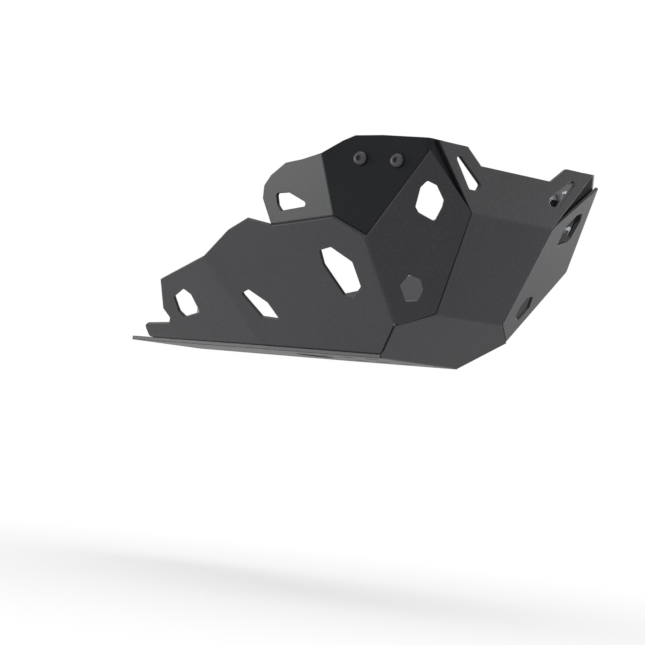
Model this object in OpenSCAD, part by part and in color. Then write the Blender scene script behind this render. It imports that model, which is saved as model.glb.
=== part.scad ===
// Skid plate of a motorcycle: an open trough of folded aluminium sheet that hangs under the engine.
// +X is forward, +Y is left and +Z is up. The floor's underside lies on z = 0.
// Every sheet is drawn as the flat faces it has, then given its thickness, its bends and its outline.

/* [Centre sheet] */
// Length from the tail edge to the front fold
plate_len = 514; // [490:1:540]
// Thickness of the centre sheet
centre_t = 4; // [3:0.5:5]
// Half width at the tail edge
tail_half = 50; // [46:1:53]
// Half width at the chin's foot
chin_base_half = 52; // [49:1:55]
// Distance of the chin's foot behind the front fold
chin_base_back = 106.6; // [102:0.2:112]
// Half width at the chin's top fold
chin_top_half = 45; // [42:1:48]
// Height of the chin's top fold
chin_top_h = 46.5; // [43:0.5:50]
// Distance of the chin's top fold behind the front fold
chin_top_back = 43.7; // [40:0.1:48]
// Half width at the front fold
front_half = 55.5; // [53:0.5:58]
// Height of the front fold
front_h = 143.5; // [138:0.5:148]
// Backward lean of the upper front, in degrees
front_lean = 1.7; // [0.5:0.1:3]
// Height of the upper front's two shoulders
shoulder_h = 205; // [200:0.5:210]
// Distance of the upper front's shoulders inside the wings' front faces
shoulder_in = 9; // [6:0.5:12]
// Half width at which each shoulder starts to fall to the recess
shoulder_inner = 69; // [65:1:74]
// Drop of the recess below the shoulders
recess_drop = 15.5; // [12:0.5:20]
// Half width of the recess
recess_half = 49; // [44:1:54]

/* [Side sheets] */
// Thickness of the side sheets and wings
side_t = 3; // [2:0.5:3.5]
// Distance of the wing corner behind the front fold
corner_back = 88; // [84:0.5:92]
// Half width at the wing corner
corner_half = 152.6; // [148:0.2:157]
// Height of the wing corner
corner_h = 124.5; // [120:0.5:129]
// Distance of the corner where the two front faces meet the wing, behind the front fold
tip_back = 53.1; // [50:0.1:57]
// Distance of the tail bend's lower end behind the front fold
tail_bend_low = 277; // [268:1:286]
// Half width of the floor at the tail bend
waist_half = 56.8; // [54:0.2:59]
// Distance of the tail bend's upper end behind the front fold
tail_bend_high = 306; // [298:1:314]
// Height of the tail bend's upper end
tail_bend_h = 86; // [82:1:90]
// Distance of the lug's end in front of the tail edge
lug_end = 40; // [34:1:46]
// Height of the lug at the side's lower rear corner
lug_h = 17; // [14:0.5:20]
// Width of the side sheets' flanges on the floor
floor_flange_w = 19; // [18:0.5:22]
// Width of the wings' flanges behind the side sheets
flange_w = 15; // [14:0.5:17]

/* [Wings] */
// Heading of the wing's front face, in degrees from straight ahead
prow_heading = 22.7; // [21:0.1:24]
// How far the wing's faces sit behind the side sheet's faces
wing_step = 2.6; // [2.4:0.1:3.2]
// Distance of the wing bend's upper end behind the front fold
crest_back = 107.3; // [104:0.1:111]
// Height of the wing's top edge
wing_h = 206; // [203:0.5:210]
// Drop of the wing bend's upper end below the top edge
crest_drop = 20.5; // [17:0.5:24]
// Distance between the two screws of a wing
screw_pitch = 38; // [34:1:42]
// Distance of the screws' middle behind the wing's front bend
screw_back = 44; // [42:0.1:47]
// Drop of the screws below the top edge
screw_drop = 23.5; // [20:0.5:27]

/* [Bends and seams] */
// Inside radius of the bends
bend_r = 4; // [3:0.5:5]
// Inside radius of the bend between the side sheets' two front faces
cheek_bend_r = 6; // [5:0.5:8]
// Turn of each flat step that makes up a bend, in degrees
bend_step = 10; // [6:1:15]
// Gap along the seams between the centre sheet and the side sheets
seam_gap = 1.2; // [0.8:0.1:1.6]
// Radius of the cut-outs' corners
hole_round = 2.5; // [1:0.5:4]

/* [Fasteners] */
// Diameter of the weld studs
stud_d = 5; // [4:1:6]
// Free play round a screw or stud in its hole
hole_play = 0.6; // [0.4:0.1:1]
// Diameter of the floor screws' shanks
floor_screw_d = 6; // [5:1:6]
// Diameter of the wing and tail screws' shanks
frame_screw_d = 8; // [6:1:8]
// Diameter of the bores for the motorcycle's own bolts
frame_bore_d = 10.5; // [8.5:0.5:11]
// Thickness of the steel brackets
bracket_t = 4; // [3:0.5:5]
// Thickness of the rubber dampers
damper_t = 5; // [4:0.5:7]
// Diameter of the rubber dampers
damper_d = 22; // [20:1:24]

/* [Floor] */
// Diameter of the drain plug's access hole
drain_d = 42; // [36:1:46]
// Distance of the access hole behind the front fold
drain_back = 262; // [250:1:275]
// Distance of the first vent behind the front fold
vent_back = 150; // [144:1:158]
// Distance from one vent to the next
vent_pitch = 34; // [30:1:36]
// Number of vents in a row
vent_count = 3; // [2:1:3]

/* [Hidden] */
$fn = 48;
// Size of what cuts through everything, overlap of a cut and the play between faces that lie together
reach = 900;
outside = 3;
lay_gap = 0.05;
thread_play = 0.1;
coat = [0.29, 0.29, 0.30];
steel = [0.62, 0.62, 0.64];
black_steel = [0.12, 0.12, 0.13];
rubber = [0.05, 0.05, 0.05];

// Directions
forward = [1, 0, 0];
right = [0, -1, 0];
down = [0, 0, -1];

// A face is a point on it and its outward normal
function unit(v) = v / norm(v);
function face(a, b, c, side) = let (n = unit(cross(b - a, c - a))) [a, n * side > 0 ? n : -n];
function inset(f, depth) = [f[0] - depth * f[1], f[1]];
function level(z) = [[0, 0, z], down];
function station(x) = [[x, 0, 0], forward];
function meet(f, g, h) = (
        (f[1] * f[0]) * cross(g[1], h[1]) + (g[1] * g[0]) * cross(h[1], f[1])
        + (h[1] * h[0]) * cross(f[1], g[1])) / (f[1] * cross(g[1], h[1]));
function at(f, x, z) = meet(f, station(x), level(z));
function other_side(p) = [p.x, -p.y, p.z];

// The directions that lie in a face: one level, one up the slope
function heading(n) = atan2(n.x, -n.y);
function along(f) = [cos(heading(f[1])), sin(heading(f[1])), 0];
function up(f) = cross(f[1], along(f));
function flat(f, p) = [(p - f[0]) * along(f), (p - f[0]) * up(f)];
function flats(f, points) = [for (p = points) flat(f, p)];

// Places on a side are given as [distance behind the front fold, height]
wing_heel_at = [179, 116];
flank_edge = [[213, 121.7], [249, 111]];
flank_hole_at = [109.9, 76.9];
flank_slot_at = [252.1, 43];
tail_hole_at = [377.7, 39.3];
wing_tail_back = 183.5;
// Places on the chamfer as [share of the way from the front to the far edge, height]
chamfer_hole_at = [0.505, 67.6];
chamfer_window_at = [0.534, 149.3];
// Upper edge of the wing's rear blade as [distance behind the front fold, share of the wing's height]
blade_edge = [[136.2, 0.681], [161.6, 0.644], [184.4, 0.499], [195, 0.38], [197.1, 0.227]];
blade_round = [4, 8, 8, 5, 5];
blade_hole_at = [155.7, 0.183];
// Upper edge of the rear part as [distance before the tail, height] and its corner radii
tail_edge = [[113, 62.5], [92, 34], [96, 25]];
tail_edge_round = [2, 3, 2];
// Upper edge of the wing's front blade as [distance behind the front fold, drop]
prow_edge = [[50, 0], [76.5, 1.7], [88, 7.4]];

// Corners of the front slot round its centre, level and as shares of the shoulders' rise
front_slot = [[-20, 0.244], [-13, 0.252], [17, -0.114], [13, -0.22], [2, -0.22]];
// Corners of the other cut-outs round their centres, level and up the slope
flank_hole = [[-17, 24], [1.5, 28.3], [22.7, 12.2], [20, -15.6], [2.5, -28.7], [-9.3, -27.2], [-20.4, 7.2]];
flank_slot = [[-21.4, 12.2], [-7.1, 17.8], [13.5, 3], [20.6, -17.3], [-5.8, -15.6]];
tail_hole = [[-14.9, 8.3], [10.1, 19.5], [18.5, 12.8], [18.7, -9.7], [-13.6, -17.2], [-19, -10]];
chamfer_hole = [[-7.4, 13.6], [5.2, 10.2], [10.5, 0.6], [8.8, -11.9], [-3.4, -14.3], [-13.7, 1.6]];
chamfer_window = [[-8.1, 19.1], [2.6, 15.7], [13.8, 1.6], [14.1, -5.1], [10.6, -20.5], [-7.6, -13.9],
    [-12.8, -8.1], [-12.9, 11.5]];
blade_hole = [[-20.6, 8.4], [0, 9.2], [29, -1.7], [22.7, -4.3], [-12.7, -8.4], [-18.1, -2.9]];
vent_corners = [[-11, 0], [-6, 4.5], [6, 4.5], [11, 0], [6, -4.5], [-6, -4.5]];

// Main corners of the right side
front_x = plate_len / 2;
tail_x = -plate_len / 2;
chin_top_x = front_x - chin_top_back;
chin_base_x = front_x - chin_base_back;
front_fold = [front_x, -front_half, front_h];
chin_top = [chin_top_x, -chin_top_half, chin_top_h];
chin_base = [chin_base_x, -chin_base_half, 0];
tail_bend_foot = [front_x - tail_bend_low, -waist_half, 0];
wing_corner = [front_x - corner_back, -corner_half, corner_h];
shoulder_rise = shoulder_h - front_h;
wing_rise = wing_h - corner_h;

// Faces of the right side
floor_face = level(0);
chin_face = face(chin_base, chin_top, other_side(chin_base), forward);
lower_face = face(front_fold, chin_top, other_side(front_fold), forward);
upper_face = [front_fold, [cos(front_lean), 0, sin(front_lean)]];
flank_face = face(chin_base, tail_bend_foot, wing_corner, right);
tail_bend_top = at(flank_face, front_x - tail_bend_high, tail_bend_h);
tail_face = face(tail_bend_top, tail_bend_foot, [tail_x, -tail_half, 0], right);
prow_face = [wing_corner, [sin(prow_heading), -cos(prow_heading), 0]];
side_tip = meet(prow_face, flank_face, station(front_x - tip_back));
chamfer_face = face(front_fold, chin_top, side_tip, right);
shoulder_half = -meet(prow_face, upper_face, level(shoulder_h)).y - shoulder_in;
chin_side = meet(chin_face, flank_face, chamfer_face);
crest_h = wing_h - crest_drop;
wing_heel = at(flank_face, front_x - wing_heel_at.x, wing_heel_at.y);
wing_crest = meet(prow_face, station(front_x - crest_back), level(crest_h));
blade_face = face(wing_corner, wing_heel, wing_crest, right);

// Faces of what lies behind the outer sheets
floor_top = level(centre_t + lay_gap);
lower_back = inset(lower_face, centre_t + lay_gap);
upper_back = inset(upper_face, centre_t + lay_gap);
chamfer_back = inset(chamfer_face, side_t + lay_gap);
flank_back = inset(flank_face, side_t + lay_gap);
prow = inset(prow_face, wing_step);
blade = inset(blade_face, wing_step);

// Places children on a face: x runs level, y up the slope and z outwards
module on(f) {
    translate(f[0]) rotate([acos(f[1].z), 0, heading(f[1])]) children();
}

// Children on the face at a point of it
module on_at(f, p) {
    on([p, f[1]]) children();
}

module both_sides() {
    children();
    mirror([0, 1, 0]) children();
}

// Everything outside a face
module beyond(f, far) {
    on(f) translate([-far, -far, 0]) cube([2 * far, 2 * far, 2 * far]);
}

// Corners of the flat steps that stand for a bend's arc between two faces
function bend_axis(f, g, deep) = meet(inset(f, deep), inset(g, deep), [f[0], unit(cross(f[1], g[1]))]);
function bend_points(f, g, axis, radius) = let (
        turn = acos(f[1] * g[1]), steps = max(1, round(turn / bend_step)),
        normals = [for (k = [0:steps + 1]) let (q = turn * k / (steps + 1))
            (sin(turn - q) * f[1] + sin(q) * g[1]) / sin(turn)])
    [for (k = [0:steps]) let (m = normals[k], n = normals[k + 1]) axis + radius * (m + n) / (1 + m * n)];

// What a bend takes off the sharp edge between two faces, its axis lying deep under both
module bend_relief(f, g, deep, radius) {
    axis = bend_axis(f, g, deep);
    points = bend_points(f, g, axis, radius);
    last = len(points) - 1;
    first_end = points[0] + outside * unit(points[0] - points[1]);
    last_end = points[last] + outside * unit(points[last] - points[last - 1]);
    tip = axis + (radius / cos(acos(f[1] * g[1]) / 2) + outside) * unit(f[1] + g[1]);
    middle = last > 1 ? [for (k = [1:last - 1]) points[k]] : [];
    line = [axis, unit(cross(f[1], g[1]))];
    on(line) linear_extrude(reach, center = true)
        polygon(flats(line, concat([first_end], middle, [last_end, tip])));
}

module inside(faces, folds, sheet_t, skin, far) {
    difference() {
        cube(far, center = true);
        for (f = faces) beyond(f, far);
        for (p = folds) let (r = len(p) > 2 ? p[2] : bend_r) bend_relief(p[0], p[1], r + sheet_t, r + skin);
    }
}

// A sheet that follows the faces. Each of the folds is a pair of faces, and its radius where it isn't bend_r
module folded(faces, folds, sheet_t) {
    difference() {
        inside(faces, folds, sheet_t, sheet_t, reach);
        inside([for (f = faces) inset(f, sheet_t)], folds, sheet_t, 0, reach + 2 * outside);
    }
}

// The part of a sheet that an outline on one face keeps
module outline(f, points, sheet_t) {
    depth = sheet_t + bend_r + outside;
    on(f) translate([0, 0, -depth]) linear_extrude(depth + outside) polygon(points);
}

// One corner of an outline as an arc, or as a point where its radius is 0
arc_steps = 4;
function arc(a, b, c, r) = let (
        u = unit(a - b), v = unit(c - b), half = acos(u * v) / 2, o = b + unit(u + v) * r / sin(half),
        start = b + u * r / tan(half) - o, s = cross(b - a, c - b) > 0 ? 1 : -1, turn = s * (180 - 2 * half))
    r == 0 ? [b] : [for (k = [0:arc_steps]) let (q = k * turn / arc_steps)
        o + [start.x * cos(q) - start.y * sin(q), start.x * sin(q) + start.y * cos(q)]];
function wrap(list, i) = list[(i + len(list)) % len(list)];
function rounded(points, radii) = [for (i = [0:len(points) - 1])
    each arc(wrap(points, i - 1), points[i], wrap(points, i + 1), is_list(radii) ? radii[i] : radii)];

// A cut-out through a face, drawn by its corners round a centre
module cut_out(f, centre, corners) {
    on_at(f, centre) translate([0, 0, -3 * outside]) linear_extrude(4 * outside)
        polygon(rounded(corners, hole_round));
}

// A round hole through a face
module round_hole(f, centre, d) {
    on_at(f, centre) translate([0, 0, -3 * outside]) cylinder(d = d, h = 4 * outside);
}

// Joins the right half of an outline to its mirror image
function whole(f, points) = concat(flats(f, points),
    [for (i = [len(points) - 1:-1:0]) flat(f, other_side(points[i]))]);
function mirrored(points) = concat(points, [for (i = [len(points) - 1:-1:0]) [-points[i].x, points[i].y]]);
function between(p, q, share) = p + share * (q - p);
function place(f, p) = at(f, front_x - p.x, p.y);
function side_face(x) = x < tail_bend_foot.x ? tail_face : flank_face;

// Centre sheet

tail_round = 6;
vent_half = 24;
front_slot_in = 21.5;
front_slot_share = 0.577;
floor_screw_backs = [130, 262, 392];
floor_screw_in = 11;
tail_screw_front = 77;
tail_screw_half = 24;
function edge(x) = at(side_face(x), x, centre_t / 2);
function floor_screw(x) = at(side_face(x), x, centre_t) + [0, floor_screw_in, -centre_t];
floor_screw_places = [for (d = floor_screw_backs) floor_screw(front_x - d)];
tail_screw_place = [tail_x + tail_screw_front, -tail_screw_half, 0];

function upper_points(extra) = [[-front_half - extra, 0], [-shoulder_half - extra, shoulder_rise],
    [-shoulder_inner, shoulder_rise], [-recess_half, shoulder_rise - recess_drop]];

function upper_edge(share) = between(front_fold, [front_x, -shoulder_half, shoulder_h], share);

module centre_outlines() {
    tail_corner = [tail_x, -tail_half, 0];
    base = whole(floor_face, [tail_corner, edge(tail_bend_foot.x), edge(chin_base_x)]);
    outline(floor_face, rounded(base, [tail_round, 0, 0, 0, 0, tail_round]), centre_t);
    outline(chin_face, whole(chin_face, [chin_base, chin_side, chin_top]), centre_t);
    outline(lower_face, whole(lower_face, [chin_top, front_fold]), centre_t);
    outline(upper_face, [for (p = mirrored(upper_points(0))) p + [front_half, 0]], centre_t);
}

// A countersunk hole from below
module countersunk(p, shank, head) {
    translate(p - [0, 0, outside]) cylinder(d = shank + hole_play, h = centre_t + 2 * outside);
    cone = (head - shank) / 2 + hole_play;
    translate(p - [0, 0, hole_play])
        cylinder(d1 = shank + hole_play + 2 * cone, d2 = shank + hole_play, h = cone);
}

module centre_plate() {
    faces = [floor_face, chin_face, lower_face, upper_face];
    color(coat) difference() {
        intersection() {
            folded(faces, [for (i = [0:2]) [faces[i], faces[i + 1]]], centre_t);
            union() centre_outlines();
        }
        both_sides() {
            cut_out(upper_face, upper_edge(front_slot_share) + [0, front_slot_in, 0],
                [for (p = front_slot) [p.x, p.y * shoulder_rise]]);
            for (i = [0:vent_count - 1])
                cut_out(floor_face, [front_x - vent_back - i * vent_pitch, -vent_half, 0], vent_corners);
            for (p = floor_screw_places) countersunk(p, floor_screw_d, floor_head_d);
            countersunk(tail_screw_place, frame_screw_d, tail_head_d);
        }
        round_hole(floor_face, [front_x - drain_back, 0, 0], drain_d);
    }
}

// Side sheets

side_top = meet(chamfer_face, prow_face, upper_face);
flank_foot = meet(flank_face, floor_top, chin_face);
tail_foot = meet(flank_face, tail_face, floor_top);
lug_foot = at(tail_face, tail_x + lug_end, centre_t);
lug_start = 89;
lug_round = 7;
lug_slope = 2;
flange_trim = 14;
flange_front_trim = 24;

module side_outlines() {
    lug = [[lug_start, lug_h + lug_slope], [lug_end + lug_slope, lug_h]];
    tail = [for (p = concat(tail_edge, lug)) at(tail_face, tail_x + p.x, p.y)];
    outline(tail_face, rounded(flats(tail_face, concat([tail_bend_top], tail, [lug_foot, tail_foot])),
        concat([0], tail_edge_round, [tail_edge_round[0], lug_round, 0, 0])), side_t);
    outline(flank_face, flats(flank_face, concat([flank_foot, chin_side, side_tip, wing_corner, wing_heel],
        [for (p = flank_edge) place(flank_face, p)], [tail_bend_top, tail_foot])), side_t);
    outline(chamfer_face, flats(chamfer_face, [chin_side, side_tip, side_top, front_fold, chin_top]),
        side_t);
    inner = [0, floor_flange_w, 0];
    outline(floor_top, flats(floor_top, [flank_foot, tail_foot, lug_foot,
        lug_foot + inner + [flange_trim, 0, 0], tail_foot + inner,
        flank_foot + inner - [flange_front_trim, 0, 0]]), side_t);
}

// A point of the chamfer between two faces that bound it
function across(f, g, p) = let (here = level(p.y))
    between(meet(chamfer_face, f, here), meet(chamfer_face, g, here), p.x);

// The room that the centre sheet and its seams take up
module seam_room() {
    grown = [0, seam_gap, 0];
    lap = [0, 0, seam_gap];
    deep = centre_t + seam_gap;
    chin = whole(chin_face, [chin_base - grown, chin_side - grown - lap, chin_top - grown + lap]);
    lower = whole(lower_face, [chin_top - grown - lap, front_fold - grown + lap]);
    upper = [for (p = mirrored(upper_points(seam_gap))) p + [front_half, 0]];
    on(chin_face) translate([0, 0, -deep]) linear_extrude(deep + outside) polygon(chin);
    on(lower_face) translate([0, 0, -deep]) linear_extrude(deep + outside) polygon(lower);
    on(upper_face) translate([0, 0, -deep]) linear_extrude(deep + outside) polygon(upper);
}

module side_panel() {
    color(coat) difference() {
        intersection() {
            folded([tail_face, flank_face, chamfer_face, floor_top],
                [[flank_face, chamfer_face, cheek_bend_r], [flank_face, floor_top], [tail_face, floor_top]],
                side_t);
            union() side_outlines();
        }
        seam_room();
        cut_out(flank_face, place(flank_face, flank_hole_at), flank_hole);
        cut_out(flank_face, place(flank_face, flank_slot_at), flank_slot);
        cut_out(tail_face, place(tail_face, tail_hole_at), tail_hole);
        cut_out(chamfer_face, across(lower_face, flank_face, chamfer_hole_at), chamfer_hole);
        cut_out(chamfer_face, across(upper_face, prow_face, chamfer_window_at), chamfer_window);
        for (p = floor_screw_places) round_hole(floor_top, [p.x, p.y, centre_t], floor_screw_d + hole_play);
    }
}

// Wings

wing_bend_foot = meet(prow, blade, flank_back);
wing_tip = meet(prow, flank_back, chamfer_back);
wing_front_low = meet(prow, chamfer_back, upper_back);
wing_top = max(wing_h, wing_front_low.z + bend_r);
wing_front_top = meet(prow, upper_back, level(wing_top));
wing_crest_back = meet(prow, blade, level(crest_h));
wing_tail = meet(blade, flank_back, station(front_x - wing_tail_back));
front_flange_low = 149;
front_flange_in = 10;
front_flange_tab = 163;
front_flange_half = 47;
window_band = 10;
chamfer_band = 14.5;
stud_in = 9.2;
stud_len = 10;
tab_gap = 6;
tab_taper = 4;
tip_tab = [[0.12, 0], [0.8, 0], [0.68, 1], [0.22, 1]];
blade_stud_shares = [0.2, 0.75];
chamfer_stud_shares = [0.16, 0.5];

// Screws through the wing, as distances along and up its front face. At their height its front bend
// lies on the chamfer or, higher up, on the upper front
front_bend = [for (f = [chamfer_back, upper_back]) flat(prow, meet(prow, f, level(wing_h - screw_drop)))];
screw_middle = [min(front_bend[0].x, front_bend[1].x) - screw_back, front_bend[0].y];
screw_places = [for (s = [-1, 1]) screw_middle + [s * screw_pitch / 2, 0]];

// Weld studs that hold a wing, each a face and a point on it
wing_studs = [
    for (p = concat([for (s = blade_stud_shares) between(wing_tail, wing_bend_foot, s)],
        [between(wing_bend_foot, wing_tip, 0.5)])) [flank_back, p - stud_in * up(flank_back)],
    for (s = chamfer_stud_shares) let (p = between(wing_tip, wing_front_low, s))
        [chamfer_back, p - stud_in * unit(cross(chamfer_back[1], wing_front_low - wing_tip))]];
front_stud_at = [-55, 156.5];
front_stud = [upper_back, meet(upper_back, [[0, front_stud_at.x, 0], right], level(front_stud_at.y))];

function on_blade(p) = place(blade, [p.x, corner_h + p.y * wing_rise]);

module wing_outlines() {
    outline(prow, flats(prow, concat([wing_bend_foot, wing_tip, wing_front_low, wing_front_top],
        [for (p = prow_edge) place(prow, [p.x, wing_h - p.y])], [wing_crest_back])), side_t);
    outline(blade, rounded(flats(blade, concat([wing_bend_foot, wing_crest_back],
        [for (p = blade_edge) on_blade(p)], [wing_tail])), concat([0, 0], blade_round, [0])), side_t);
    bend = flat(flank_back, wing_bend_foot);
    heel = flat(flank_back, wing_tail);
    tip = flat(flank_back, wing_tip);
    outline(flank_back, [heel, bend - [tab_gap, 0], bend - [tab_gap + tab_taper, flange_w],
        heel + [tab_taper, -flange_w]], side_t);
    outline(flank_back, [for (p = tip_tab) between(bend, tip, p.x) - [0, p.y * flange_w]], side_t);
    t = flat(chamfer_back, wing_tip);
    c = flat(chamfer_back, wing_front_low);
    e = flat(chamfer_back, meet(chamfer_back, upper_back, level(front_flange_low)));
    ct = unit(t - c);
    ce = unit(e - c);
    skew = sin(acos(ct * ce));
    start = t - ct * tab_gap;
    // The window behind the chamfer ends in a corner, or level below the top edge of a low wing
    corner = c + (ct * window_band + ce * chamfer_band) / skew;
    window_top = c.y - max(0, wing_front_low.z - wing_h) / up(chamfer_back).z - window_band;
    drop = window_top - corner.y;
    outline(chamfer_back, concat([start, c, e, e + ct * window_band / skew],
        drop < 0 ? [corner + ce * drop / ce.y, corner + ct * drop / ct.y] : [corner],
        [start - tab_taper * ct + ce * chamfer_band / skew]), side_t);
    inner = function(z) let (p = upper_edge(min(1, (z - front_h) / shoulder_rise)))
        [p.x, p.y + front_flange_in, z];
    tab = [upper_back[0].x, -front_flange_half, 0];
    outline(upper_back, flats(upper_back, [meet(chamfer_back, upper_back, level(front_flange_low)),
        wing_front_low, wing_front_top, inner(wing_top), inner(front_flange_tab),
        tab + [0, 0, front_flange_tab], tab + [0, 0, front_flange_low]]), side_t);
}

module wing() {
    color(coat) difference() {
        intersection() {
            folded([prow, blade, flank_back, chamfer_back, upper_back],
                [[prow, blade], [prow, flank_back], [blade, flank_back], [prow, chamfer_back],
                    [chamfer_back, upper_back], [prow, upper_back], [flank_back, chamfer_back, cheek_bend_r]],
                side_t);
            union() wing_outlines();
        }
        cut_out(blade, on_blade(blade_hole_at), blade_hole);
        for (p = screw_places) on(prow) translate([p.x, p.y, -2 * side_t])
            cylinder(d = frame_screw_d + hole_play, h = 4 * side_t);
        for (s = concat(wing_studs, [front_stud])) round_hole(s[0], s[1], stud_d + hole_play);
        if (wing_h < wing_top) beyond([[0, 0, wing_h], -down], reach);
    }
}

// Strips that join the side sheets to the centre sheet behind the front seams

strip_low = 60;
strip_high = 126;
strip_w = 17;
strip_taper = 4;
strip_stud_in = 9.5;
strip_levels = [76, 110];
function seam_point(z) = meet(lower_back, chamfer_back, level(z));
strip_centre_studs = [for (z = strip_levels) [lower_back, seam_point(z) + strip_stud_in * along(lower_back)]];
strip_side_studs = [for (z = strip_levels) [chamfer_back, seam_point(z) - strip_stud_in * along(chamfer_back)]];

module seam_strip() {
    ends = [seam_point(strip_high), seam_point(strip_low)];
    color(coat) difference() {
        intersection() {
            folded([lower_back, chamfer_back], [[lower_back, chamfer_back]], side_t);
            union() {
                a = flats(lower_back, ends);
                b = flats(chamfer_back, ends);
                outline(lower_back, [a[0], a[1], a[1] + [strip_w, strip_taper], a[0] + [strip_w, -strip_taper]],
                    side_t);
                outline(chamfer_back,
                    [b[0], b[1], b[1] - [strip_w, -strip_taper], b[0] - [strip_w, strip_taper]], side_t);
            }
        }
        for (s = concat(strip_centre_studs, strip_side_studs)) round_hole(s[0], s[1], stud_d + hole_play);
    }
}

// Studs and nuts

module studs(places) {
    for (s = places) on_at(s[0], s[1]) translate([0, 0, -stud_len])
        cylinder(d = stud_d, h = stud_len + lay_gap / 2);
}

module centre_studs() {
    color(steel) both_sides() studs(concat(strip_centre_studs, [front_stud]));
}

module side_studs() {
    color(steel) both_sides() studs(concat(strip_side_studs, wing_studs));
}

// Width and thickness of a nut's flange and width of its hexagon, as shares of the thread
nut_flange = 2.3;
nut_flange_t = 0.25;
nut_hexagon = 1.84;

// A hexagon nut with a flange, standing up from z = 0
module flange_nut(d) {
    difference() {
        union() {
            cylinder(d = nut_flange * d, h = nut_flange_t * d);
            cylinder(d = nut_hexagon * d, h = d, $fn = 6);
        }
        translate([0, 0, -outside]) cylinder(d = d + thread_play, h = d + 2 * outside);
    }
}

module stud_nuts() {
    color(steel) both_sides() for (s = concat(strip_centre_studs, strip_side_studs, wing_studs, [front_stud]))
        on_at(s[0], s[1]) translate([0, 0, -side_t - lay_gap]) mirror([0, 0, 1]) flange_nut(stud_d);
}

// Floor screws

floor_head_d = 12;
floor_socket_d = 4.6;
tail_head_d = 15.6;
frame_socket_d = 5.8;
socket_depth = 2;
screw_end = 2;

// A countersunk screw with a hexagon socket, its head's face at z = 0
module countersunk_screw(d, head, len, socket) {
    difference() {
        union() {
            cylinder(d1 = head, d2 = d, h = (head - d) / 2);
            cylinder(d = d, h = len);
        }
        translate([0, 0, -outside]) cylinder(d = socket, h = outside + socket_depth, $fn = 6);
    }
}

module floor_screws() {
    len = centre_t + side_t + floor_screw_d + screw_end;
    color(black_steel) both_sides() for (p = floor_screw_places)
        translate(p) countersunk_screw(floor_screw_d, floor_head_d, len, floor_socket_d);
}

module floor_nuts() {
    color(steel) both_sides() for (p = floor_screw_places)
        translate(p + [0, 0, centre_t + side_t + 2 * lay_gap]) flange_nut(floor_screw_d);
}

// Brackets to the motorcycle's frame

bracket_up = inset(prow, side_t + damper_t);
bracket_rear = 30;
bracket_front = 26;
bracket_below = 16;
bracket_above = 15;
bracket_span = [screw_middle.x - bracket_rear, screw_middle.x + bracket_front];
bracket_rise = [screw_middle.y - bracket_below, screw_middle.y + bracket_above];
bracket_low = level(corner_h + bracket_rise[0]);
bracket_leg = 44;
bracket_taper = 12;
bracket_round = 8;
bracket_bore_in = 30;
function bracket_point(u, deep) = bracket_up[0] + u * along(bracket_up) - deep * bracket_up[1];

module frame_bracket() {
    a = bracket_span[0];
    b = bracket_span[1];
    color(black_steel) difference() {
        intersection() {
            folded([bracket_up, bracket_low], [[bracket_up, bracket_low]], bracket_t);
            union() {
                outline(bracket_up, rounded([[a, bracket_rise[0]], [b, bracket_rise[0]],
                    [b, bracket_rise[1]], [a, bracket_rise[1]]], [0, 0, bracket_round, bracket_round]),
                    bracket_t);
                outline(bracket_low, rounded(flats(bracket_low, [bracket_point(a, 0), bracket_point(b, 0),
                    bracket_point(b - bracket_taper, bracket_leg),
                    bracket_point(a + bracket_taper, bracket_leg)]),
                    [0, 0, bracket_round, bracket_round]), bracket_t);
            }
        }
        for (p = screw_places) on(bracket_up) translate([p.x, p.y, -2 * bracket_t])
            cylinder(d = frame_screw_d + hole_play, h = 4 * bracket_t);
        p = bracket_point(screw_middle.x, bracket_bore_in);
        round_hole(bracket_low, [p.x, p.y, bracket_low[0].z], frame_bore_d);
    }
}

// Wing screws

button_d = 14;
button_h = 4.4;
button_rim = 0.8;
button_top = 7;
button_socket = 2.6;
dome_steps = 6;

// A button-head screw with a hexagon socket, its head standing up from z = 0
module button_screw(d, len, socket) {
    rim = button_d / 2;
    dome = [for (k = [0:dome_steps]) let (q = 90 * k / dome_steps)
        [button_top / 2 + (rim - button_top / 2) * cos(q), button_rim + (button_h - button_rim) * sin(q)]];
    difference() {
        union() {
            rotate_extrude() polygon(concat([[0, 0], [rim, 0]], dome, [[0, button_h]]));
            translate([0, 0, -len]) cylinder(d = d, h = len + button_rim);
        }
        translate([0, 0, button_h - button_socket]) cylinder(d = socket, h = button_socket + outside, $fn = 6);
    }
}

module wing_screws() {
    len = side_t + damper_t + bracket_t + frame_screw_d;
    color(black_steel) both_sides() for (p = screw_places)
        on(prow) translate(p) button_screw(frame_screw_d, len, frame_socket_d);
}

sleeve_d = 12;
sleeve_play = 0.3;

module damper() {
    difference() {
        cylinder(d = damper_d, h = damper_t);
        translate([0, 0, -outside]) cylinder(d = sleeve_d + sleeve_play, h = damper_t + 2 * outside);
    }
}

module sleeve() {
    difference() {
        cylinder(d = sleeve_d, h = damper_t);
        translate([0, 0, -outside]) cylinder(d = frame_screw_d + hole_play, h = damper_t + 2 * outside);
    }
}

module at_wing_screws(depth) {
    both_sides() for (p = screw_places) on(prow) translate([p.x, p.y, -depth]) mirror([0, 0, 1]) children();
}

module wing_dampers() {
    color(rubber) at_wing_screws(side_t) damper();
}

module wing_sleeves() {
    color(steel) at_wing_screws(side_t) sleeve();
}

bracket_nut_d = 15;
bracket_nut_h = 6.5;

module bracket_nuts() {
    color(steel) at_wing_screws(side_t + damper_t + bracket_t) difference() {
        cylinder(d = bracket_nut_d, h = bracket_nut_h, $fn = 6);
        translate([0, 0, -outside]) cylinder(d = frame_screw_d + thread_play, h = bracket_nut_h + 2 * outside);
    }
}

// Tail bracket

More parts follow.
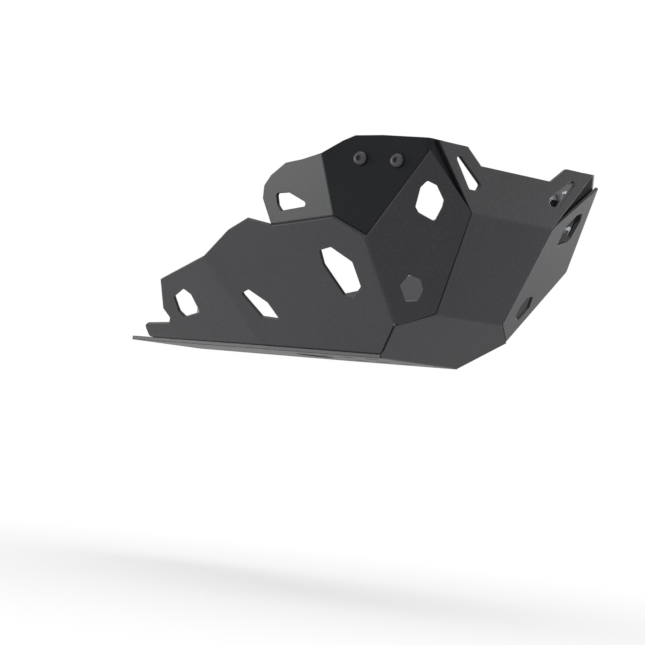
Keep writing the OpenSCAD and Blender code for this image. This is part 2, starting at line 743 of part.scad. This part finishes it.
tail_low = level(centre_t + damper_t);
tail_up_front = 100;
tail_up = station(tail_x + tail_up_front);
tail_bracket_half = 38;
tail_bracket_len = 45;
tail_bracket_h = 50;
tail_bore_h = 34;
tail_bore_half = 22;

module tail_bracket() {
    color(black_steel) difference() {
        intersection() {
            folded([tail_low, tail_up], [[tail_low, tail_up]], bracket_t);
            union() {
                x = tail_up[0].x;
                z = tail_low[0].z;
                w = tail_bracket_half;
                outline(tail_low, rounded(flats(tail_low, [[x, -w, z], [x, w, z], [x - tail_bracket_len, w, z],
                    [x - tail_bracket_len, -w, z]]), [0, 0, bracket_round, bracket_round]), bracket_t);
                outline(tail_up, rounded(flats(tail_up, [[x, -w, z], [x, w, z], [x, w, tail_bracket_h],
                    [x, -w, tail_bracket_h]]), [0, 0, bracket_round, bracket_round]), bracket_t);
            }
        }
        both_sides() {
            round_hole(tail_low, tail_screw_place + tail_low[0], frame_screw_d + hole_play);
            round_hole(tail_up, [tail_up[0].x, -tail_bore_half, tail_bore_h], frame_bore_d);
        }
    }
}

module at_tail_screws(h) {
    both_sides() translate(tail_screw_place + [0, 0, h]) children();
}

module tail_screws() {
    len = centre_t + damper_t + bracket_t + frame_screw_d + screw_end;
    color(black_steel) at_tail_screws(0) countersunk_screw(frame_screw_d, tail_head_d, len, frame_socket_d);
}

module tail_dampers() {
    color(rubber) at_tail_screws(centre_t) damper();
}

module tail_sleeves() {
    color(steel) at_tail_screws(centre_t) sleeve();
}

module tail_nuts() {
    color(steel) at_tail_screws(centre_t + damper_t + bracket_t) flange_nut(frame_screw_d);
}

module left() {
    mirror([0, 1, 0]) children();
}

centre_plate();
side_panel();  // side_panel_right
left() side_panel();  // side_panel_left
wing();  // wing_right
left() wing();  // wing_left
seam_strip();  // seam_strip_right
left() seam_strip();  // seam_strip_left
centre_studs();
side_studs();
stud_nuts();
floor_screws();
floor_nuts();
frame_bracket();  // frame_bracket_right
left() frame_bracket();  // frame_bracket_left
wing_screws();
wing_dampers();
wing_sleeves();
bracket_nuts();
tail_bracket();
tail_screws();
tail_dampers();
tail_sleeves();
tail_nuts();
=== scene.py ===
import bpy
import bmesh
from mathutils import Matrix, Vector


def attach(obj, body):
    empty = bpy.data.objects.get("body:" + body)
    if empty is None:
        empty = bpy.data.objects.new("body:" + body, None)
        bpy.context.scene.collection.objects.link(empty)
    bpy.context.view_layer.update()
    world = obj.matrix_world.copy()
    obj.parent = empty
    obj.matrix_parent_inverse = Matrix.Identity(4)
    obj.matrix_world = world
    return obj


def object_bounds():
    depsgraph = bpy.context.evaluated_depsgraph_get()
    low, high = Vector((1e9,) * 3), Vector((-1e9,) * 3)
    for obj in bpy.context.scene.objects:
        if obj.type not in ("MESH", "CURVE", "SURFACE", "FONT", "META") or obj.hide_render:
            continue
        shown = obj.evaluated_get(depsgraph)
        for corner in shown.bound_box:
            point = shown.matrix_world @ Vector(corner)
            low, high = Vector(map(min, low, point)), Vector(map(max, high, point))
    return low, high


# A motorcycle's skid plate of folded aluminium sheet with a matt anthracite powder coat.
# Metres, +X forward, +Y left, +Z up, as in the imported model.

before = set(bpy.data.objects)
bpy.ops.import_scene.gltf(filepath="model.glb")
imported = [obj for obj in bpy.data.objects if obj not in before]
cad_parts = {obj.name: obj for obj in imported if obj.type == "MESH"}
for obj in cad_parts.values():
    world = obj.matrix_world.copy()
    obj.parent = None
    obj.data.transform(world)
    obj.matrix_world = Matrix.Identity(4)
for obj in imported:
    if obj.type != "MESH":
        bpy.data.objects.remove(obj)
cadBox = [list(corner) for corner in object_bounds()]
print("frame loaded:", len(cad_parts), "nodes")

mmPerMetre = 1000
plainWhite = (1, 1, 1, 1)
noiseLow, noiseHigh = 0.3, 0.7  # nearly all of a noise's values lie between these
mixShare, mixFirst, mixSecond, mixColour = 0, 6, 7, 2  # a Mix node's colour sockets share their names


def hexColour(text):  # sRGB hex to linear red, green, blue, alpha, with the standard's own numbers
    values = [int(text[i:i + 2], 16) / 255 for i in (1, 3, 5)]
    return [v / 12.92 if v <= 0.04045 else ((v + 0.055) / 1.055) ** 2.4 for v in values] + [1]


def blobScale(sizeMm):  # a noise's scale for blobs about sizeMm across
    return mmPerMetre / (2 * sizeMm)


def addNode(tree, kind, settings=None, inputs=None):
    # adds a node; an input that is an output socket is linked, anything else is a value
    node = tree.nodes.new(kind)
    for name, value in (settings or {}).items():
        setattr(node, name, value)
    for name, value in (inputs or {}).items():
        if isinstance(value, bpy.types.NodeSocket):
            tree.links.new(value, node.inputs[name])
        else:
            node.inputs[name].default_value = value
    return node


def newMaterial(name):  # an empty material and its node tree
    material = bpy.data.materials.new(name)
    material.use_nodes = True
    material.node_tree.nodes.clear()
    return material, material.node_tree


def addToScene(name, data):
    thing = bpy.data.objects.new(name, data)
    bpy.context.scene.collection.objects.link(thing)
    return thing


edgeFinder = {
    "samples": 8,
    "flatAbove": 0.99,  # where the two normals' product is higher, the face counts as flat
}


def roundedEdges(tree, look):
    # the normal of rounded edges, and how far it leans from the face's own: 0 on a flat face, 1 at
    # an edge where the two normals' product has fallen to edgeFullAt
    rounded = addNode(tree, "ShaderNodeBevel", {"samples": edgeFinder["samples"]}, {
        "Radius": look["edgeRadiusMm"] / mmPerMetre}).outputs["Normal"]
    own = addNode(tree, "ShaderNodeNewGeometry").outputs["Normal"]
    same = addNode(tree, "ShaderNodeVectorMath", {"operation": "DOT_PRODUCT"}, {0: rounded, 1: own})
    share = addNode(tree, "ShaderNodeMapRange", inputs={
        "Value": same.outputs["Value"],
        "From Min": edgeFinder["flatAbove"], "From Max": look["edgeFullAt"]})
    return rounded, share.outputs["Result"]


# The sheets' coat

sheetLook = {
    "colour": "#2c2c2f",
    "paleColour": "#323236",  # where the powder lies thinner
    "thinFrom": 0.35,  # the mottle's values between which the pale colour comes in
    "thinTo": 0.68,
    "mottleMm": 60.0,  # the width of one pass of the spray gun
    "grainHighlightColour": "#48484b",  # painted highlight on the grain's tops
    "grainHighlightFrom": 0.45,  # the grain's values between which the painted highlight begins and is full
    "grainHighlightTo": 0.75,
    "grainHighlightShare": 0.3,
    "grainMm": 1.4,  # real grain is about 0.3 mm, drawn coarser so that it shows
    "grainDepthMm": 0.015,
    "peelMm": 9.0,  # the coat's slow waves, as on orange peel
    "peelDepthMm": 0.01,
    "edgeWearAndHighlightColour": "#58585b",  # cut edges, lighter where the coat is thinnest and as painted highlight
    "edgeWearAndHighlightShare": 0.3,
    "edgeRadiusMm": 1.4,
    "edgeFullAt": 0.8,
    "roughness": 0.46,
    "roughnessSpread": 0.02,
    "specular": 0.3,  # low, since the fine texture scatters much of the sheen
}
# the wings' coat is smoother, and its colours are darkened as painted shade
wingShadedLook = dict(
    sheetLook, colour="#17191b", paleColour="#1b1d1f", grainHighlightColour="#28292b", edgeWearAndHighlightColour="#3c3e40",
    roughness=0.38, specular=0.15)


def powderCoat(name, look):
    # Polyester powder coat with a fine texture, sprayed and baked on aluminium: matt with a broad
    # soft sheen, slightly uneven, with painted highlights on the grain's tops, and lighter over cut
    # edges, where the coat is thinner and a highlight is painted.
    material, tree = newMaterial(name)
    point = addNode(tree, "ShaderNodeTexCoord").outputs["Object"]
    mottle = addNode(tree, "ShaderNodeTexNoise", inputs={
        "Vector": point, "Scale": blobScale(look["mottleMm"]), "Detail": 2.0}).outputs["Fac"]
    grain = addNode(tree, "ShaderNodeTexNoise", inputs={
        "Vector": point, "Scale": blobScale(look["grainMm"]),
        "Detail": 2.0, "Roughness": 0.6}).outputs["Fac"]
    peel = addNode(tree, "ShaderNodeTexNoise", inputs={
        "Vector": point, "Scale": blobScale(look["peelMm"]), "Detail": 1.0}).outputs["Fac"]
    roundNormal, edge = roundedEdges(tree, look)
    thin = addNode(tree, "ShaderNodeMapRange", inputs={
        "Value": mottle, "From Min": look["thinFrom"], "From Max": look["thinTo"]})
    base = addNode(tree, "ShaderNodeMix", {"data_type": "RGBA"}, {
        mixShare: thin.outputs["Result"],
        mixFirst: hexColour(look["colour"]), mixSecond: hexColour(look["paleColour"])})
    # painted highlight on the grain's tops
    paintedGrainHighlight = addNode(tree, "ShaderNodeMapRange", inputs={
        "Value": grain, "From Min": look["grainHighlightFrom"], "From Max": look["grainHighlightTo"],
        "To Max": look["grainHighlightShare"]})
    withGrainHighlight = addNode(tree, "ShaderNodeMix", {"data_type": "RGBA"}, {
        mixShare: paintedGrainHighlight.outputs["Result"],
        mixFirst: base.outputs[mixColour], mixSecond: hexColour(look["grainHighlightColour"])})
    # painted highlight and thinner coat: cut edges lightened towards the edge colour
    wornAndLitEdge = addNode(tree, "ShaderNodeMath", {"operation": "MULTIPLY"}, {0: edge, 1: look["edgeWearAndHighlightShare"]})
    colour = addNode(tree, "ShaderNodeMix", {"data_type": "RGBA"}, {
        mixShare: wornAndLitEdge.outputs["Value"],
        mixFirst: withGrainHighlight.outputs[mixColour], mixSecond: hexColour(look["edgeWearAndHighlightColour"])})
    halfSpread = look["roughnessSpread"] / 2
    rough = addNode(tree, "ShaderNodeMapRange", inputs={
        "Value": mottle, "From Min": noiseLow, "From Max": noiseHigh,
        "To Min": look["roughness"] - halfSpread, "To Max": look["roughness"] + halfSpread})
    wavy = addNode(tree, "ShaderNodeBump", inputs={
        "Strength": 1.0, "Distance": look["peelDepthMm"] / mmPerMetre,
        "Height": peel, "Normal": roundNormal})
    grainy = addNode(tree, "ShaderNodeBump", inputs={
        "Strength": 1.0, "Distance": look["grainDepthMm"] / mmPerMetre,
        "Height": grain, "Normal": wavy.outputs["Normal"]})
    shader = addNode(tree, "ShaderNodeBsdfPrincipled", inputs={
        "Base Color": colour.outputs[mixColour], "Roughness": rough.outputs["Result"],
        "Normal": grainy.outputs["Normal"], "Specular IOR Level": look["specular"]})
    addNode(tree, "ShaderNodeOutputMaterial", inputs={"Surface": shader.outputs["BSDF"]})
    return material


sheetCoat = powderCoat("powderCoatAnthracite", sheetLook)
# the wings' coat: the sheets' coat with its colours darkened as painted shade, and smoother
wingShadedCoat = powderCoat("powderCoatWingPaintedShade", wingShadedLook)
print("coats made")


# Metal, paint and rubber of the small parts

smallPartLook = {
    "edgeRadiusMm": 0.5,
    "edgeFullAt": 0.75,
    "edgeWearAndHighlightShare": 0.5,  # how far a rim turns to the edge colour, as wear and painted highlight
    "spotRoughness": 0.06,  # how much rougher the spots are
}
# marks finer than about 0.3 mm, as these metals have, are drawn that coarse so that they show
screwLook = dict(
    smallPartLook, colour="#515153", spotColour="#4a4a4c", edgeWearAndHighlightColour="#626264", metallic=1.0,
    roughness=0.46, spotMm=3.0, markMm=0.35, markDepthMm=0.01)
zincLook = dict(
    smallPartLook, colour="#b9bdc2", spotColour="#8c9096", edgeWearAndHighlightColour="#d8dade", metallic=1.0,
    roughness=0.34, spotMm=5.0, markMm=0.5, markDepthMm=0.02)
studLook = dict(
    smallPartLook, colour="#c3c4c6", spotColour="#9a9b9d", edgeWearAndHighlightColour="#dadbdc", metallic=1.0,
    roughness=0.4, spotMm=4.0, markMm=0.4, markDepthMm=0.02)
paintLook = dict(
    smallPartLook, colour="#17181a", spotColour="#1e1f21", edgeWearAndHighlightColour="#3c3c3e", metallic=0.0,
    roughness=0.38, spotMm=30.0, markMm=2.5, markDepthMm=0.05)
rubberLook = dict(
    smallPartLook, colour="#2c2c2b", spotColour="#161616", edgeWearAndHighlightColour="#343433", metallic=0.0,
    roughness=0.78, spotMm=3.0, markMm=0.5, markDepthMm=0.03)


def cloudedSurface(name, look):
    # a colour with soft spots of a second one, fine marks, and rims lightened to a third colour, as
    # wear and painted highlight
    material, tree = newMaterial(name)
    point = addNode(tree, "ShaderNodeTexCoord").outputs["Object"]
    cloud = addNode(tree, "ShaderNodeTexNoise", inputs={
        "Vector": point, "Scale": blobScale(look["spotMm"]), "Detail": 3.0}).outputs["Fac"]
    marks = addNode(tree, "ShaderNodeTexNoise", inputs={
        "Vector": point, "Scale": blobScale(look["markMm"]), "Detail": 2.0}).outputs["Fac"]
    roundNormal, edge = roundedEdges(tree, look)
    shade = addNode(tree, "ShaderNodeMapRange", inputs={
        "Value": cloud, "From Min": noiseLow, "From Max": noiseHigh})
    base = addNode(tree, "ShaderNodeMix", {"data_type": "RGBA"}, {
        mixShare: shade.outputs["Result"],
        mixFirst: hexColour(look["spotColour"]), mixSecond: hexColour(look["colour"])})
    # painted highlight and wear: rims lightened towards the edge colour
    rubbedAndLitRim = addNode(tree, "ShaderNodeMath", {"operation": "MULTIPLY"}, {0: edge, 1: look["edgeWearAndHighlightShare"]})
    colour = addNode(tree, "ShaderNodeMix", {"data_type": "RGBA"}, {
        mixShare: rubbedAndLitRim.outputs["Value"],
        mixFirst: base.outputs[mixColour], mixSecond: hexColour(look["edgeWearAndHighlightColour"])})
    rough = addNode(tree, "ShaderNodeMapRange", inputs={
        "Value": cloud, "From Min": noiseLow, "From Max": noiseHigh,
        "To Min": look["roughness"] + look["spotRoughness"], "To Max": look["roughness"]})
    bump = addNode(tree, "ShaderNodeBump", inputs={
        "Strength": 1.0, "Distance": look["markDepthMm"] / mmPerMetre,
        "Height": marks, "Normal": roundNormal})
    shader = addNode(tree, "ShaderNodeBsdfPrincipled", inputs={
        "Base Color": colour.outputs[mixColour], "Roughness": rough.outputs["Result"],
        "Normal": bump.outputs["Normal"], "Metallic": look["metallic"]})
    addNode(tree, "ShaderNodeOutputMaterial", inputs={"Surface": shader.outputs["BSDF"]})
    return material


# blackened and oiled steel: a dark soft gleam, with painted highlight on the heads' rims
screwSteel = cloudedSurface("blackenedSteel", screwLook)
# zinc-plated steel: bright and a little cloudy
zincSteel = cloudedSurface("zincPlatedSteel", zincLook)
# plain drawn aluminium: pale, with the fine marks of the die
studAluminium = cloudedSurface("drawnAluminium", studLook)
# dip paint on steel: even satin black, lighter over the edges, where it is thinner and a highlight is
# painted
bracketPaint = cloudedSurface("dipPaintBlack", paintLook)
# moulded natural rubber: dull black with a faint grey bloom
damperRubber = cloudedSurface("mouldedRubber", rubberLook)
print("small parts' materials made")

nodeMaterials = {
    "centre_plate": sheetCoat, "side_panel_right": sheetCoat, "side_panel_left": sheetCoat,
    "wing_right": wingShadedCoat, "wing_left": wingShadedCoat,
    "seam_strip_right": sheetCoat, "seam_strip_left": sheetCoat,
    "centre_studs": studAluminium, "side_studs": studAluminium, "stud_nuts": zincSteel,
    "floor_screws": screwSteel, "floor_nuts": zincSteel,
    "frame_bracket_right": bracketPaint, "frame_bracket_left": bracketPaint,
    "wing_screws": screwSteel, "wing_dampers": damperRubber, "wing_sleeves": zincSteel,
    "bracket_nuts": zincSteel, "tail_bracket": bracketPaint, "tail_screws": screwSteel,
    "tail_dampers": damperRubber, "tail_sleeves": zincSteel, "tail_nuts": zincSteel,
}
for nodeName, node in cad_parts.items():
    for materialSlot in node.material_slots:
        materialSlot.material = nodeMaterials[nodeName]
print("nodes painted")


# Thread ridges on the free ends of screws and studs

threadSets = {
    # pitches of M5, M6 and M8 threads, and the length that stands out past the nut
    "studThreads": {"nodes": ["centre_studs", "side_studs"], "pitch": 0.0008, "freeLength": 0.0020,
                    "material": studAluminium, "slot": "aluminium_stud"},
    "floorScrewThreads": {"nodes": ["floor_screws"], "pitch": 0.0010, "freeLength": 0.0018,
                          "material": screwSteel, "slot": "black_screw"},
    "tailScrewThreads": {"nodes": ["tail_screws"], "pitch": 0.00125, "freeLength": 0.0018,
                         "material": screwSteel, "slot": "black_screw"},
    "wingScrewThreads": {"nodes": ["wing_screws"], "pitch": 0.00125, "freeLength": 0.0014,
                         "material": screwSteel, "slot": "black_screw"},
}
ridgeLook = {
    "sunk": 0.2,  # how deep a ridge's middle lies inside the shank, in pitches
    "height": 0.36,  # the radius of a ridge's section, in pitches
    "firstRidge": 0.5,  # from the shank's end, in pitches
    "ringSides": 24,
    "sectionSides": 4,
}
shankFinder = {
    "mergeDistance": 1e-6,  # a node's loose triangles share their corners within this
    "startDirection": (0.31, 0.52, 0.79),  # where the search begins, square to no shank
    "rounds": 60,
    "endDepth": 1e-5,  # points this close to the furthest one belong to the shank's end
}


def looseParts(nodeName):
    # the points of each separate solid in a node
    mesh = bmesh.new()
    mesh.from_mesh(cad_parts[nodeName].data)
    bmesh.ops.remove_doubles(mesh, verts=mesh.verts, dist=shankFinder["mergeDistance"])
    reached = set()
    parts = []
    for first in mesh.verts:
        if first in reached:
            continue
        reached.add(first)
        stack = [first]
        part = []
        while stack:
            vertex = stack.pop()
            part.append(vertex.co.copy())
            for link in vertex.link_edges:
                other = link.other_vert(vertex)
                if other not in reached:
                    reached.add(other)
                    stack.append(other)
        parts.append(part)
    mesh.free()
    return parts


def mainDirection(points):
    # the direction in which a solid is longest, by repeated multiplication with its spread
    centre = sum(points, Vector()) / len(points)
    spread = Matrix(((0, 0, 0), (0, 0, 0), (0, 0, 0)))
    for point in points:
        offset = point - centre
        spread += Matrix([[offset[i] * offset[j] for j in range(3)] for i in range(3)])
    direction = Vector(shankFinder["startDirection"])
    for _ in range(shankFinder["rounds"]):
        direction = (spread @ direction).normalized()
    return centre, direction


def freeEnd(points, inwards):
    # the middle, direction and radius of a shank's free end, which is the one nearer to inwards
    centre, direction = mainDirection(points)
    if direction.dot(inwards - centre) < 0:
        direction = -direction
    reach = max(direction.dot(p - centre) for p in points)
    end = [p for p in points if direction.dot(p - centre) > reach - shankFinder["endDepth"]]
    middle = sum(end, Vector()) / len(end)
    return middle, direction, max((p - middle).length for p in end)


def ridgeTree(name):
    # points with a direction become stacks of small ridges round a shank
    tree = bpy.data.node_groups.new(name, "GeometryNodeTree")
    tree.interface.new_socket("Geometry", in_out="INPUT", socket_type="NodeSocketGeometry")
    sockets = {}
    for label, kind in (("Radius", "NodeSocketFloat"), ("Pitch", "NodeSocketFloat"),
                        ("Ridges", "NodeSocketInt"), ("Height", "NodeSocketFloat"),
                        ("Material", "NodeSocketMaterial")):
        socket = tree.interface.new_socket(label, in_out="INPUT", socket_type=kind)
        sockets[label] = socket.identifier
    tree.interface.new_socket("Geometry", in_out="OUTPUT", socket_type="NodeSocketGeometry")
    given = addNode(tree, "NodeGroupInput").outputs
    direction = addNode(tree, "GeometryNodeInputNamedAttribute", {"data_type": "FLOAT_VECTOR"}, {
        "Name": "direction"}).outputs["Attribute"]
    copies = addNode(tree, "GeometryNodeDuplicateElements", {"domain": "POINT"}, {
        "Geometry": given["Geometry"], "Amount": given["Ridges"]})
    step = addNode(tree, "ShaderNodeMath", {"operation": "ADD"}, {
        0: copies.outputs["Duplicate Index"], 1: ridgeLook["firstRidge"]})
    distance = addNode(tree, "ShaderNodeMath", {"operation": "MULTIPLY"}, {
        0: step.outputs["Value"], 1: given["Pitch"]})
    offset = addNode(tree, "ShaderNodeVectorMath", {"operation": "SCALE"}, {
        0: direction, "Scale": distance.outputs["Value"]})
    backwards = addNode(tree, "ShaderNodeVectorMath", {"operation": "SCALE"}, {
        0: offset.outputs["Vector"], "Scale": -1.0})
    placed = addNode(tree, "GeometryNodeSetPosition", inputs={
        "Geometry": copies.outputs["Geometry"], "Offset": backwards.outputs["Vector"]})
    turn = addNode(tree, "FunctionNodeAlignRotationToVector", {"axis": "Z"}, {"Vector": direction})
    ring = addNode(tree, "GeometryNodeCurvePrimitiveCircle", {"mode": "RADIUS"}, {
        "Resolution": ridgeLook["ringSides"], "Radius": given["Radius"]})
    section = addNode(tree, "GeometryNodeCurvePrimitiveCircle", {"mode": "RADIUS"}, {
        "Resolution": ridgeLook["sectionSides"], "Radius": given["Height"]})
    ridge = addNode(tree, "GeometryNodeCurveToMesh", inputs={
        "Curve": ring.outputs["Curve"], "Profile Curve": section.outputs["Curve"]})
    stacks = addNode(tree, "GeometryNodeInstanceOnPoints", inputs={
        "Points": placed.outputs["Geometry"], "Instance": ridge.outputs["Mesh"],
        "Rotation": turn.outputs["Rotation"]})
    real = addNode(tree, "GeometryNodeRealizeInstances", inputs={
        "Geometry": stacks.outputs["Instances"]})
    finished = addNode(tree, "GeometryNodeSetMaterial", inputs={
        "Geometry": real.outputs["Geometry"], "Material": given["Material"]})
    addNode(tree, "NodeGroupOutput", inputs={"Geometry": finished.outputs["Geometry"]})
    return tree, sockets


def threadPiece(name, look, tree, sockets):
    # one mesh of ridges for the free ends of all the nodes' solids
    inwards = (Vector(cadBox[0]) + Vector(cadBox[1])) / 2
    ends = [freeEnd(part, inwards) for nodeName in look["nodes"] for part in looseParts(nodeName)]
    middles, directions, radii = zip(*ends)
    points = bpy.data.meshes.new(name)
    points.from_pydata(middles, [], [])
    attribute = points.attributes.new("direction", "FLOAT_VECTOR", "POINT")
    for index, direction in enumerate(directions):
        attribute.data[index].vector = direction
    carrier = addToScene(name + "Points", points)
    modifier = carrier.modifiers.new("ridges", "NODES")
    modifier.node_group = tree
    modifier[sockets["Radius"]] = radii[0] - ridgeLook["sunk"] * look["pitch"]
    modifier[sockets["Pitch"]] = look["pitch"]
    modifier[sockets["Ridges"]] = int(look["freeLength"] / look["pitch"])
    modifier[sockets["Height"]] = ridgeLook["height"] * look["pitch"]
    modifier[sockets["Material"]] = look["material"]
    bpy.context.view_layer.update()
    evaluated = carrier.evaluated_get(bpy.context.evaluated_depsgraph_get())
    piece = addToScene(name, bpy.data.meshes.new_from_object(evaluated))
    bpy.data.objects.remove(carrier)
    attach(piece, "root")
    print(name, len(ends), "ends,", len(piece.data.polygons), "faces")


threadTree, threadSockets = ridgeTree("threadRidges")
for pieceName, threadLook in threadSets.items():
    threadPiece(pieceName, threadLook, threadTree, threadSockets)


# Floor, world, lamps, camera

stageLook = {
    "floorHeight": -0.2367,  # the ground below the plate when it hangs on the motorcycle
    "floorSize": 24.0,
    "floorColour": "#e9e9e9",
    "clearFrom": 0.3,  # the floor seen by the camera turns to plain white between these distances
    "clearTo": 0.9,
    "nearWhite": 0.6,  # and is this much white near the plate, where its shadow lies
    "worldStrength": 0.5,  # on the plate, while the camera sees a strength of 1
}


def directlySeen(tree):
    # 1 for what the camera sees, in gloss and through glass too, and 0 for light on a surface
    rays = addNode(tree, "ShaderNodeLightPath").outputs
    direct = addNode(tree, "ShaderNodeMath", {"operation": "MAXIMUM"}, {
        0: rays["Is Camera Ray"], 1: rays["Is Glossy Ray"]})
    seen = addNode(tree, "ShaderNodeMath", {"operation": "MAXIMUM"}, {
        0: direct.outputs["Value"], 1: rays["Is Transmission Ray"]})
    return seen.outputs["Value"]


def makeFloor(look):
    # a matt sheet that fades to plain white away from the plate, and keeps its shadow
    half = look["floorSize"] / 2
    corners = [(-half, -half, 0), (half, -half, 0), (half, half, 0), (-half, half, 0)]
    mesh = bpy.data.meshes.new("floor")
    mesh.from_pydata(corners, [], [(0, 1, 2, 3)])
    mesh.transform(Matrix.Translation((0, 0, look["floorHeight"])))
    addToScene("floor", mesh)
    material, tree = newMaterial("studioFloor")
    point = addNode(tree, "ShaderNodeTexCoord").outputs["Object"]
    distance = addNode(tree, "ShaderNodeVectorMath", {"operation": "LENGTH"}, {0: point})
    far = addNode(tree, "ShaderNodeMapRange", {"interpolation_type": "SMOOTHSTEP"}, {
        "Value": distance.outputs["Value"], "From Min": look["clearFrom"],
        "From Max": look["clearTo"], "To Min": look["nearWhite"]})
    share = addNode(tree, "ShaderNodeMath", {"operation": "MULTIPLY"}, {
        0: directlySeen(tree), 1: far.outputs["Result"]})
    paint = addNode(tree, "ShaderNodeBsdfDiffuse", inputs={"Color": hexColour(look["floorColour"])})
    white = addNode(tree, "ShaderNodeEmission", inputs={"Color": plainWhite, "Strength": 1.0})
    mixed = addNode(tree, "ShaderNodeMixShader", inputs={
        0: share.outputs["Value"], 1: paint.outputs["BSDF"], 2: white.outputs["Emission"]})
    addNode(tree, "ShaderNodeOutputMaterial", inputs={"Surface": mixed.outputs["Shader"]})
    mesh.materials.append(material)


def makeWorld(look):
    world = bpy.data.worlds.new("studio")
    bpy.context.scene.world = world
    world.use_nodes = True
    tree = world.node_tree
    tree.nodes.clear()
    strength = addNode(tree, "ShaderNodeMapRange", inputs={
        "Value": directlySeen(tree), "To Min": look["worldStrength"], "To Max": 1.0})
    sky = addNode(tree, "ShaderNodeBackground", inputs={
        "Color": plainWhite, "Strength": strength.outputs["Result"]})
    addNode(tree, "ShaderNodeOutputWorld", inputs={"Surface": sky.outputs["Background"]})


lamps = {
    # where each soft box stands, its width and height, and its power
    "rearSoftbox": {"place": (-1.9, -1.75, -0.02), "size": (1.6, 1.0), "watts": 48},
    "leftSoftbox": {"place": (0.6, 2.6, 0.5), "size": (1.6, 1.4), "watts": 34},
    "overheadSoftbox": {"place": (0.1, 0.2, 2.4), "size": (2.2, 2.2), "watts": 30},
}
lampAim = Vector((0.05, 0, 0.1))  # the plate's middle, at which they all point


def makeLamp(name, look):
    data = bpy.data.lights.new(name, "AREA")
    data.shape = "RECTANGLE"
    data.size, data.size_y = look["size"]
    data.energy = look["watts"]
    lamp = addToScene(name, data)
    lamp.location = look["place"]
    lamp.rotation_mode = "QUATERNION"
    lamp.rotation_quaternion = (lampAim - lamp.location).to_track_quat("-Z", "Y")


cameraLook = {
    "place": (1.9142, -1.6933, -0.0768),  # where the photographer's lens stood, from the plate
    "right": (0.70881, 0.69673, 0.11029),  # the picture's level direction
    "aim": (0.0, 0.0, 0.035),
    "lens": 138.0,  # mm, as the sensor's width is
    "sensor": 36.0,
}


def makeCamera(look):
    place = Vector(look["place"])
    forward = (Vector(look["aim"]) - place).normalized()
    right = Vector(look["right"])
    right = (right - right.dot(forward) * forward).normalized()
    up = right.cross(forward)
    data = bpy.data.cameras.new("camera")
    data.lens = look["lens"]
    data.sensor_width = look["sensor"]
    camera = addToScene("camera", data)
    camera.matrix_world = Matrix((
        (right.x, up.x, -forward.x, place.x), (right.y, up.y, -forward.y, place.y),
        (right.z, up.z, -forward.z, place.z), (0, 0, 0, 1)))
    bpy.context.scene.camera = camera


makeFloor(stageLook)
makeWorld(stageLook)
for lampName, lampLook in lamps.items():
    makeLamp(lampName, lampLook)
makeCamera(cameraLook)
bpy.context.scene.view_settings.view_transform = "Standard"
print("stage made")
